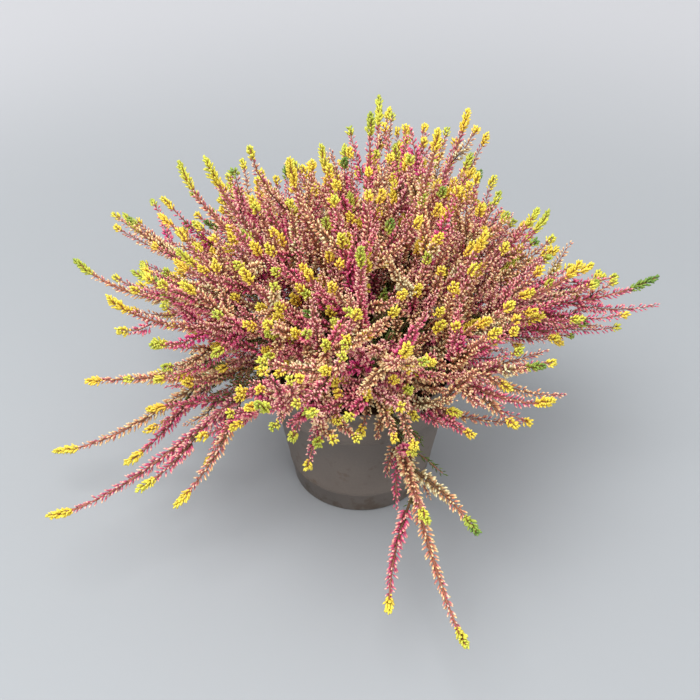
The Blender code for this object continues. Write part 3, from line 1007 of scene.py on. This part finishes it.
class HeatherStage(bpy.types.PropertyGroup):
    """The studio"""

    camera_distance: length("Camera distance", "From the camera to the middle of the plant", 0.70)
    camera_azimuth: angle("Camera azimuth", "Turn of the camera to the right", 10)
    camera_elevation: angle("Camera elevation", "Height of the camera above the horizon", 37)
    aim_height: length("Aim height", "Height of the point in the middle of the view", 0.098)
    lens: number("Lens", "Focal length", 58, subtype="DISTANCE_CAMERA")
    key_power: power("Key light", "Soft light overhead", 27.5)
    fill_power: power("Fill light", "Soft light in front", 19)
    sky: number("Room light", "Strength of the even light", 1.04, min=0)
    floor_radius: length("Floor radius", "Reach of the flat floor", 2.4)


class HeatherSettings(bpy.types.PropertyGroup):
    """All settings of the heather"""

    shades: PointerProperty(name="Shades", description="Colours", type=HeatherShades)
    growth: PointerProperty(name="Growth", description="Sizes of the growth", type=HeatherGrowth)
    pot: PointerProperty(name="Pot", description="The pot and its peat", type=HeatherPot)
    stage: PointerProperty(name="Stage", description="The studio", type=HeatherStage)


# What grows on a spike


def settings():
    return bpy.context.scene.heather


def toned(tones):
    return tones.clip(*TONE_ENDS)


def dress(growth, spike, form, reach, sizes, pitch, draw):
    """Buds of a full (width, length) on a spike, from its leafy part up to its young tip. Towards
    the tip they are smaller, duskier, pressed closer to the spike and further apart.
    """
    distance, turn, share = spike.ranks(spike.leafy, spike.tip, pitch, BUDS, draw, AIRY_END)
    tipped = spike.end - spike.tip > SHORTEST_ROW
    smaller, closer = TIPPED_LOSSES if tipped else END_LOSSES
    full = 1 - smaller * share**2
    lean = settings().growth.bud_lean * (1 - closer * share**3)
    lean = lean + draw.normal(0, LEAN_SPREAD, len(share))
    own = full * draw.normal(1, BUDS.size, len(share)).clip(0.7, 1.3)
    long = np.minimum(sizes[1] * own, (reach * full - BUDS.foot) / np.sin(lean).clip(0.3, 1))
    wide = sizes[0] / 2 * own
    centres, axes = spike.stand(distance, turn, lean, BUDS, draw)
    tone = spike.tone + (BUD_TONES["dusky"] - spike.tone) * DUSKY_END * share**2
    tones = toned(tone + draw.normal(0, BUDS.tone, len(share)))
    growth.copies(form, centres, axes, (wide, wide * BUDS.flatness, long), tones)


def grow_tip(growth, spike, form, draw):
    """The young leaves of a tip: a blunt club of crossed pairs that closes at its end."""
    if spike.end - spike.tip < SHORTEST_ROW:
        return
    sizes = settings().growth
    last = spike.end - TIP_SHORT_BY
    distance, turn, share = spike.ranks(spike.tip, last, sizes.young_pitch, TIPS, draw)
    club = np.sqrt(1 - TIP_TAPER * share**2) * np.minimum(1, TIP_NECK + TIP_SWELL * share)
    closing, closed = TIP_END_LEANS
    lean = TIP_LEAN - closing * share - closed * (share > TIP_CLOSED_FROM)
    lean = lean + draw.normal(0, LEAN_SPREAD, len(share))
    long = sizes.young_length * club * draw.normal(1, TIPS.size, len(share))
    long = np.minimum(long, (YOUNG_REACH * club - TIPS.foot) / np.sin(lean).clip(0.3, 1))
    wide = sizes.young_width / 2 * (TIP_SLIMMEST + (1 - TIP_SLIMMEST) * club)
    centres, axes = spike.stand(distance, turn, lean, TIPS, draw)
    tones = spike.tip_tone + TIP_TONE_RISE * (share - 0.5)
    tones = tones + draw.normal(0, TIPS.tone, len(share))
    growth.copies(form, centres, axes, (wide, wide * TIPS.flatness, long), toned(tones))


def grow_leaves(growth, spike, start, end, draw):
    """Old scale leaves, pressed to the stem."""
    if end - start < SHORTEST_ROW:
        return
    sizes = settings().growth
    distance, turn, share = spike.ranks(start, end, sizes.leaf_pitch, LEAVES, draw)
    own = draw.normal(1, LEAVES.size, len(share)).clip(0.6, 1.4)
    lean = draw.normal(LEAF_LEAN, LEAN_SPREAD, len(share)).clip(0.2, 1.1)
    wide, long = sizes.leaf_width / 2 * own, sizes.leaf_length * own
    centres, axes = spike.stand(distance, turn, lean, LEAVES, draw)
    low, high = LEAF_COLUMNS
    tones = low + (high - low) * draw.normal(0.48, LEAVES.tone, len(share)).clip(0, 1)
    growth.copies(SCALE_LEAF, centres, axes, (wide, wide * LEAVES.flatness, long), tones, slot=1)


def grow_stem(growth, spike, kind, draw):
    """The stem that carries it all, which ends a little before its last bud or leaf."""
    tone = draw.uniform(*BARK_COLUMNS)
    growth.tube(spike, spike.end - STEM_SHORT_BY, *kind, tone)


def falls(draw, chance, value, low, high):
    """Whether a draw falls to a chance of (least, how much more) that grows between two values."""
    least, more = chance
    return draw.random() < least + more * min(1, max(0, (value - low) / (high - low)))


def shade_of(point, draw):
    """The tone of a spike: a few greenish, and cream or rose by chance, with more cream up high."""
    if draw.random() < GREENISH_CHANCE:
        return draw.uniform(*GREENISH_SPIKES)
    cream = falls(draw, CREAM_CHANCE, point.z, *CREAM_HEIGHTS)
    low, high = CREAM_ENDS if cream else ROSE_ENDS
    return min(high, max(low, draw.gauss(*(CREAM_SPIKES if cream else ROSE_SPIKES))))


def tip_shade(point, draw):
    """The tone of a young tip: a few green, and lime or gold by chance, with more lime far out."""
    if draw.random() < GREEN_CHANCE:
        return draw.uniform(*GREEN_TIPS)
    lime = falls(draw, LIME_CHANCE, (point - CROWN).length, *LIME_DISTANCES)
    return draw.uniform(*(LIME_TIPS if lime else GOLD_TIPS))


@lru_cache(maxsize=1)
def spikes():
    """For each spray: its main spike, its side spikes, its twigs and its leafy shoots."""
    made = []
    for number, spray in enumerate(plan()):
        draw = random.Random(SHADE_SEED + number)
        rows = []
        for group in ([spray.stem], spray.sides, spray.twigs, spray.shoots):
            ends = [shoot.axis[-1] for shoot in group]
            tones = [(shade_of(end, draw), tip_shade(end, draw)) for end in ends]
            rows.append([Spike(shoot, *pair) for shoot, pair in zip(group, tones)])
        made.append(rows)
    return made


def settle(piece, slot, *nodes):
    """Puts a piece on the plant's one body, in the place of these solids."""
    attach(piece, "root")
    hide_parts(*nodes)


def each_spray(seed):
    """For each spray: its number, its groups of spikes, its draw, and an empty growth."""
    own_seed = settings().growth.seed
    for number, groups in enumerate(spikes(), start=1):
        yield number, groups, np.random.default_rng([own_seed, seed + number]), Growth()


class HEATHER_OT_bud_spikes(bpy.types.Operator):
    """Clothes every spike and twig in buds"""

    bl_idname = "heather.bud_spikes"
    bl_label = "Bud Spikes"

    def execute(self, context):
        sizes = context.scene.heather.growth
        finish = bud_finish(context.scene.heather.shades)
        full = (sizes.bud_width, sizes.bud_length)
        small = tuple(size * share for size, share in zip(full, TWIG_BUD_SHARES))
        for number, (mains, sides, twigs, _), draw, growth in each_spray(BUD_SEED):
            for spike in mains + sides:
                dress(growth, spike, BUD, BUD_REACH, full, sizes.bud_pitch, draw)
            for spike in twigs:
                dress(growth, spike, TWIG_FORM, TWIG_REACH, small, sizes.twig_pitch, draw)
            piece = growth.piece(f"bud_spikes_{number:02d}", finish)
            settle(piece, "bud_spray", f"spray_{number:02d}")
        return {"FINISHED"}


class HEATHER_OT_leafy_stems(bpy.types.Operator):
    """Grows the stems with their old scale leaves"""

    bl_idname = "heather.leafy_stems"
    bl_label = "Leafy Stems"

    def execute(self, context):
        shades = context.scene.heather.shades
        finishes = bark_finish(shades), leaf_finish(shades)
        for number, (mains, sides, twigs, shoots), draw, growth in each_spray(STEM_SEED):
            for spike in mains:
                grow_stem(growth, spike, MAIN_STEM, draw)
                grow_leaves(growth, spike, spike.woody, spike.leafy, draw)
            for spike in sides:
                grow_stem(growth, spike, SIDE_STEM, draw)
                grow_leaves(growth, spike, 0.003, spike.leafy, draw)
            for spike in twigs:
                grow_stem(growth, spike, TWIG_STEM, draw)
            for spike in shoots:
                grow_stem(growth, spike, TWIG_STEM, draw)
                grow_leaves(growth, spike, 0.002, spike.end - 0.001, draw)
            piece = growth.piece(f"leafy_stems_{number:02d}", *finishes)
            settle(piece, "bud_spray", f"spray_{number:02d}")
        return {"FINISHED"}


class HEATHER_OT_young_tips(bpy.types.Operator):
    """Grows the bright young leaves at the end of every spike"""

    bl_idname = "heather.young_tips"
    bl_label = "Young Tips"

    def execute(self, context):
        finish = young_finish(context.scene.heather.shades)
        for number, (mains, sides, twigs, _), draw, growth in each_spray(TIP_SEED):
            for spike in mains + sides:
                grow_tip(growth, spike, YOUNG_LEAF, draw)
            for spike in twigs:
                grow_tip(growth, spike, TWIG_FORM, draw)
            piece = growth.piece(f"young_tips_{number:02d}", finish)
            settle(piece, "young_tip", f"tip_{number:02d}", f"spray_{number:02d}")
        return {"FINISHED"}


# The pot and its peat


def pot_profile(line_depth):
    """(radius, height) points down the pot's outside, and then up its inside."""
    band_low = POT_HEIGHT - RIM_BAND
    lip, half = RIM_RADIUS - WALL / 2, WALL / 2
    turns = [math.pi * i / LIP_STEPS for i in range(LIP_STEPS + 1)]
    points = [(lip - half * math.cos(t), POT_HEIGHT - half + half * math.sin(t)) for t in turns]
    outer_low = RIM_RADIUS - LIP_ROUND / 2
    points += [(RIM_RADIUS, POT_HEIGHT - RIM_INSIDE), (RIM_RADIUS - 0.0003, POT_HEIGHT - 0.0030)]
    points += [(outer_low, band_low + 0.0012), (outer_low - 0.0001, band_low + 0.0005)]
    points += [(outer_low - 0.0006, band_low + 0.0001), (pot_radius(band_low) + 0.0004, band_low)]
    points.append((pot_radius(band_low - 0.0004), band_low - 0.0004))
    foot, edge = MOULD_LINE_HALVES
    raised = ((foot, 0), (edge, line_depth), (-edge, line_depth), (-foot, 0))
    for line in MOULD_LINES:
        points += [(pot_radius(line + offset) + depth, line + offset) for offset, depth in raised]
    points += [(pot_radius(FOOT_CHAMFER), FOOT_CHAMFER), (BASE_RADIUS - 0.0005, 0.0004)]
    points += [(BASE_RADIUS - FOOT_CHAMFER, 0), (0, 0)]
    wall_low = pot_radius(FLOOR) - WALL
    inner = [(0, FLOOR), (wall_low - CORNER_ROUND, FLOOR), (wall_low, FLOOR + CORNER_ROUND)]
    inner += [(pot_radius(band_low) - WALL, band_low), (RIM_RADIUS - WALL, band_low + RIM_STEP)]
    return [*points, *inner, (RIM_RADIUS - WALL, POT_HEIGHT - RIM_INSIDE)]


def turned(profile, steps, closed=True):
    """(radius, height) points turned round Z, as a bmesh."""
    shape = bmesh.new()
    turns = [math.tau * i / steps for i in range(steps)]
    rings = []
    for radius, height in profile:
        ring = turns if radius else turns[:1]
        places = [(radius * math.cos(t), radius * math.sin(t), height) for t in ring]
        rings.append([shape.verts.new(place) for place in places])
    for first, second in zip(rings, rings[1:] + rings[:1] if closed else rings[1:]):
        for i in range(steps):
            pairs = ((first, i), (second, i), (second, i + 1), (first, i + 1))
            corners = list(dict.fromkeys(ring[j % len(ring)] for ring, j in pairs))
            if len(corners) > 2:
                shape.faces.new(corners)
    return shape


def add_object(name, shape, *finishes):
    """A bmesh as a smooth object with these materials."""
    mesh = bpy.data.meshes.new(name)
    shape.to_mesh(mesh)
    shape.free()
    return placed(name, mesh, finishes)


class HEATHER_OT_pot(bpy.types.Operator):
    """Moulds the thin tapered pot with its rim band, fine lines and drain holes"""

    bl_idname = "heather.pot"
    bl_label = "Pot"

    def execute(self, context):
        values = context.scene.heather
        shape = turned(pot_profile(values.pot.line_depth), values.pot.round_steps)
        pot = add_object("grower_pot", shape, pot_finish(values.shades))
        drill = bmesh.new()
        bit = {"radius1": DRAIN_RADIUS, "radius2": DRAIN_RADIUS, "depth": 4 * FLOOR}
        for i in range(DRAIN_COUNT):
            turn = math.tau * (i + 0.5) / DRAIN_COUNT
            made = bmesh.ops.create_cone(drill, cap_ends=True, segments=DRAIN_STEPS, **bit)
            centre = (DRAIN_CIRCLE * math.cos(turn), DRAIN_CIRCLE * math.sin(turn), FLOOR / 2)
            bmesh.ops.translate(drill, verts=made["verts"], vec=centre)
        cutter = add_object("drain_holes", drill)
        holes = pot.modifiers.new("holes", "BOOLEAN")
        holes.object = cutter
        graph = context.evaluated_depsgraph_get()
        pot.data = bpy.data.meshes.new_from_object(pot.evaluated_get(graph))
        pot.modifiers.clear()
        bpy.data.objects.remove(cutter)
        pot.data.set_sharp_from_angle(angle=SHARP_FROM)
        settle(pot, "pot_plastic", "pot")
        return {"FINISHED"}


class HEATHER_OT_peat(bpy.types.Operator):
    """Fills the pot with crumbly peat"""

    bl_idname = "heather.peat"
    bl_label = "Peat"

    def execute(self, context):
        values = context.scene.heather
        low = FLOOR + GAP
        band_low = POT_HEIGHT - RIM_BAND
        slope = (pot_radius(band_low) - pot_radius(0)) / band_low
        low_radius = pot_radius(low) - WALL - GAP
        shoulder = SOIL_TOP - PEAT_SHOULDER
        shoulder_radius = low_radius + slope * (shoulder - low)
        top_radius = shoulder_radius - PEAT_EDGE
        profile = [(top_radius * i / PEAT_RINGS, SOIL_TOP) for i in range(PEAT_RINGS + 1)]
        profile += [(shoulder_radius, shoulder), (low_radius, low), (0, low)]
        shape = turned(profile, PEAT_STEPS)
        for corner in shape.verts:
            if abs(corner.co.z - SOIL_TOP) < 1e-7:
                self.roughen(corner, top_radius)
        draw = random.Random(PEAT_SEED)
        for _ in range(values.pot.crumbs):
            self.crumb(shape, draw, top_radius)
        for _ in range(values.pot.fibres):
            self.fibre(shape, draw, top_radius)
        bmesh.ops.recalc_face_normals(shape, faces=shape.faces)
        peat = add_object("peat", shape, peat_finish(values.shades))
        settle(peat, "peat", "soil")
        return {"FINISHED"}

    def roughen(self, corner, top_radius):
        """Gives a corner of the flat top its height in the rough peat, which drops at its edge."""
        around = math.hypot(corner.co.x, corner.co.y) / top_radius
        rough = PEAT_ROUGH * noise.fractal(corner.co * 210, 0.8, 2.2, 4)
        grit = PEAT_GRIT * noise.noise(corner.co * 900)
        corner.co.z = soil_height(corner.co.x, corner.co.y) + rough + grit
        corner.co.z -= PEAT_EDGE_DROP * max(0, around - PEAT_EDGE_FROM) / (1 - PEAT_EDGE_FROM)

    def place(self, draw, top_radius):
        around = top_radius * CRUMBS_WITHIN * math.sqrt(draw.random())
        turn = draw.uniform(0, math.tau)
        x, y = around * math.cos(turn), around * math.sin(turn)
        return Vector((x, y, soil_height(x, y)))

    def crumb(self, shape, draw, top_radius):
        """A lump of peat, half sunk in the surface."""
        size = draw.uniform(*CRUMB_SIZES)
        made = bmesh.ops.create_icosphere(shape, subdivisions=1, radius=size)
        place = self.place(draw, top_radius)
        seed = Vector((draw.random(), draw.random(), draw.random())) * 50
        for corner in made["verts"]:
            corner.co *= 1 + 0.5 * noise.noise(corner.co / size + seed)
            corner.co.z *= CRUMB_FLATNESS
            corner.co += place

    def fibre(self, shape, draw, top_radius):
        """A thin root fibre that lies on the surface."""
        place = self.place(draw, top_radius * FIBRES_WITHIN)
        turn = draw.uniform(0, math.tau)
        long = draw.uniform(*FIBRE_LENGTHS)
        bend = draw.uniform(*FIBRE_BENDS)
        lowest, arch = FIBRE_ARCH
        rings = []
        for i in range(FIBRE_STEPS + 1):
            share = i / FIBRE_STEPS
            heading = turn + bend * share
            x = place.x + long * share * math.cos(heading)
            y = place.y + long * share * math.sin(heading)
            height = soil_height(x, y) + lowest + arch * math.sin(math.pi * share)
            across = Vector((-math.sin(heading), math.cos(heading), 0)) * FIBRE_WIDTH
            corners = (across, UP * FIBRE_HEIGHT, -across)
            rings.append([shape.verts.new(Vector((x, y, height)) + corner) for corner in corners])
        for a, b in zip(rings, rings[1:]):
            for i in range(3):
                j = (i + 1) % 3
                shape.faces.new((a[i], a[j], b[j], b[i]))
        shape.faces.new(rings[0][::-1])
        shape.faces.new(rings[-1])


# The stage


def area_light(name, watts, size, place, target):
    light = bpy.data.lights.new(name, "AREA")
    light.energy = watts
    light.shape = "DISK"
    light.size = size
    made = bpy.data.objects.new(name, light)
    made.location = place
    made.rotation_euler = (Vector(place) - Vector(target)).to_track_quat("Z", "Y").to_euler()
    bpy.context.scene.collection.objects.link(made)


class HEATHER_OT_stage(bpy.types.Operator):
    """Sets up the pale floor, the soft lights and the camera"""

    bl_idname = "heather.stage"
    bl_label = "Stage"

    def execute(self, context):
        values = context.scene.heather
        stage = values.stage
        low, high = SOLID_BOX
        middle = Vector(((low.x + high.x) / 2, (low.y + high.y) / 2, stage.aim_height))
        self.floor(values)
        area_light("key_light", stage.key_power, *KEY_LIGHT, middle)
        area_light("fill_light", stage.fill_power, *FILL_LIGHT, middle)
        self.world(stage)
        camera = bpy.data.cameras.new("camera")
        camera.lens = stage.lens
        seen = bpy.data.objects.new("camera", camera)
        turn, rise = stage.camera_azimuth, stage.camera_elevation
        level = math.cos(rise)
        back = Vector((math.sin(turn) * level, -math.cos(turn) * level, math.sin(rise)))
        seen.location = middle + back * stage.camera_distance
        seen.rotation_euler = back.to_track_quat("Z", "Y").to_euler()
        context.scene.collection.objects.link(seen)
        context.scene.camera = seen
        context.scene.view_settings.view_transform = "Standard"
        return {"FINISHED"}

    def floor(self, values):
        """A flat disc that sweeps up into a low wall all round. Its colour holds painted light:
        painted shade darkens it near the plant, and it is painted paler behind the plant and on the
        wall.
        """
        reach = values.stage.floor_radius
        sweep = reach * SWEEP_SHARE
        profile = [(reach * share, 0) for share in FLOOR_RINGS]
        for i in range(1, SWEEP_STEPS + 1):
            turn = math.pi / 2 * i / SWEEP_STEPS
            profile.append((reach + sweep * math.sin(turn), sweep * (1 - math.cos(turn))))
        profile.append((reach + sweep, sweep + WALL_HEIGHT))
        finish = Finish("studio_floor", roughness=1.0, specular=0.0)
        place = finish.own_place()
        around = finish.node("ShaderNodeVectorMath", {"operation": "LENGTH"}, {0: place}, "Value")
        behind = finish.part(place, "Y")
        # Painted light: the share of the paler colour grows away from the plant and behind it, and
        # is full on the wall, as light and shade would fall
        far = finish.between(around, 0.30, 1.10) * finish.between(behind, -0.10, 0.60)
        far = 1 - (1 - far) * (1 - finish.between(around, 1.50, 2.60))
        painted_shade_near, painted_light_far = values.shades.floor_near_painted_shade, values.shades.floor_far_painted_light
        finish.feed("Base Color", finish.mix(far, painted_shade_near, painted_light_far))
        shape = turned(profile, FLOOR_STEPS, closed=False)
        add_object("studio_floor", shape, finish.material)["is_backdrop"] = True

    def world(self, stage):
        world = bpy.data.worlds.new("studio")
        world.use_nodes = True
        light = world.node_tree.nodes["Background"]
        light.inputs["Color"].default_value = SKY_COLOUR
        light.inputs["Strength"].default_value = stage.sky
        bpy.context.scene.world = world


class HEATHER_PT_panel(bpy.types.Panel):
    """The heather's steps and settings"""

    bl_idname = "HEATHER_PT_panel"
    bl_label = "Potted Heather"
    bl_space_type = "VIEW_3D"
    bl_region_type = "UI"
    bl_category = "Heather"

    def draw(self, context):
        for step in STEPS:
            self.layout.operator(step.bl_idname)
        values = context.scene.heather
        for group in (values.growth, values.pot, values.stage, values.shades):
            box = self.layout.box()
            for name in group.__annotations__:
                box.prop(group, name)


STEPS = (
    HEATHER_OT_stage,
    HEATHER_OT_pot,
    HEATHER_OT_peat,
    HEATHER_OT_leafy_stems,
    HEATHER_OT_bud_spikes,
    HEATHER_OT_young_tips,
)
GROUPS = (HeatherShades, HeatherGrowth, HeatherPot, HeatherStage, HeatherSettings)


def register():
    for each in (*GROUPS, *STEPS, HEATHER_PT_panel):
        bpy.utils.register_class(each)
    bpy.types.Scene.heather = PointerProperty(type=HeatherSettings)


def unregister():
    del bpy.types.Scene.heather
    for each in reversed((*GROUPS, *STEPS, HEATHER_PT_panel)):
        bpy.utils.unregister_class(each)


def main():
    register()
    bpy.ops.heather.stage()
    bpy.ops.heather.pot()
    bpy.ops.heather.peat()
    bpy.ops.heather.leafy_stems()
    bpy.ops.heather.bud_spikes()
    bpy.ops.heather.young_tips()
    sizes = {"solid": SOLID_BOX, "visual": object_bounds()}
    {name: [list(corner) for corner in box] for name, box in sizes.items()}


if __name__ == "__main__":
    main()
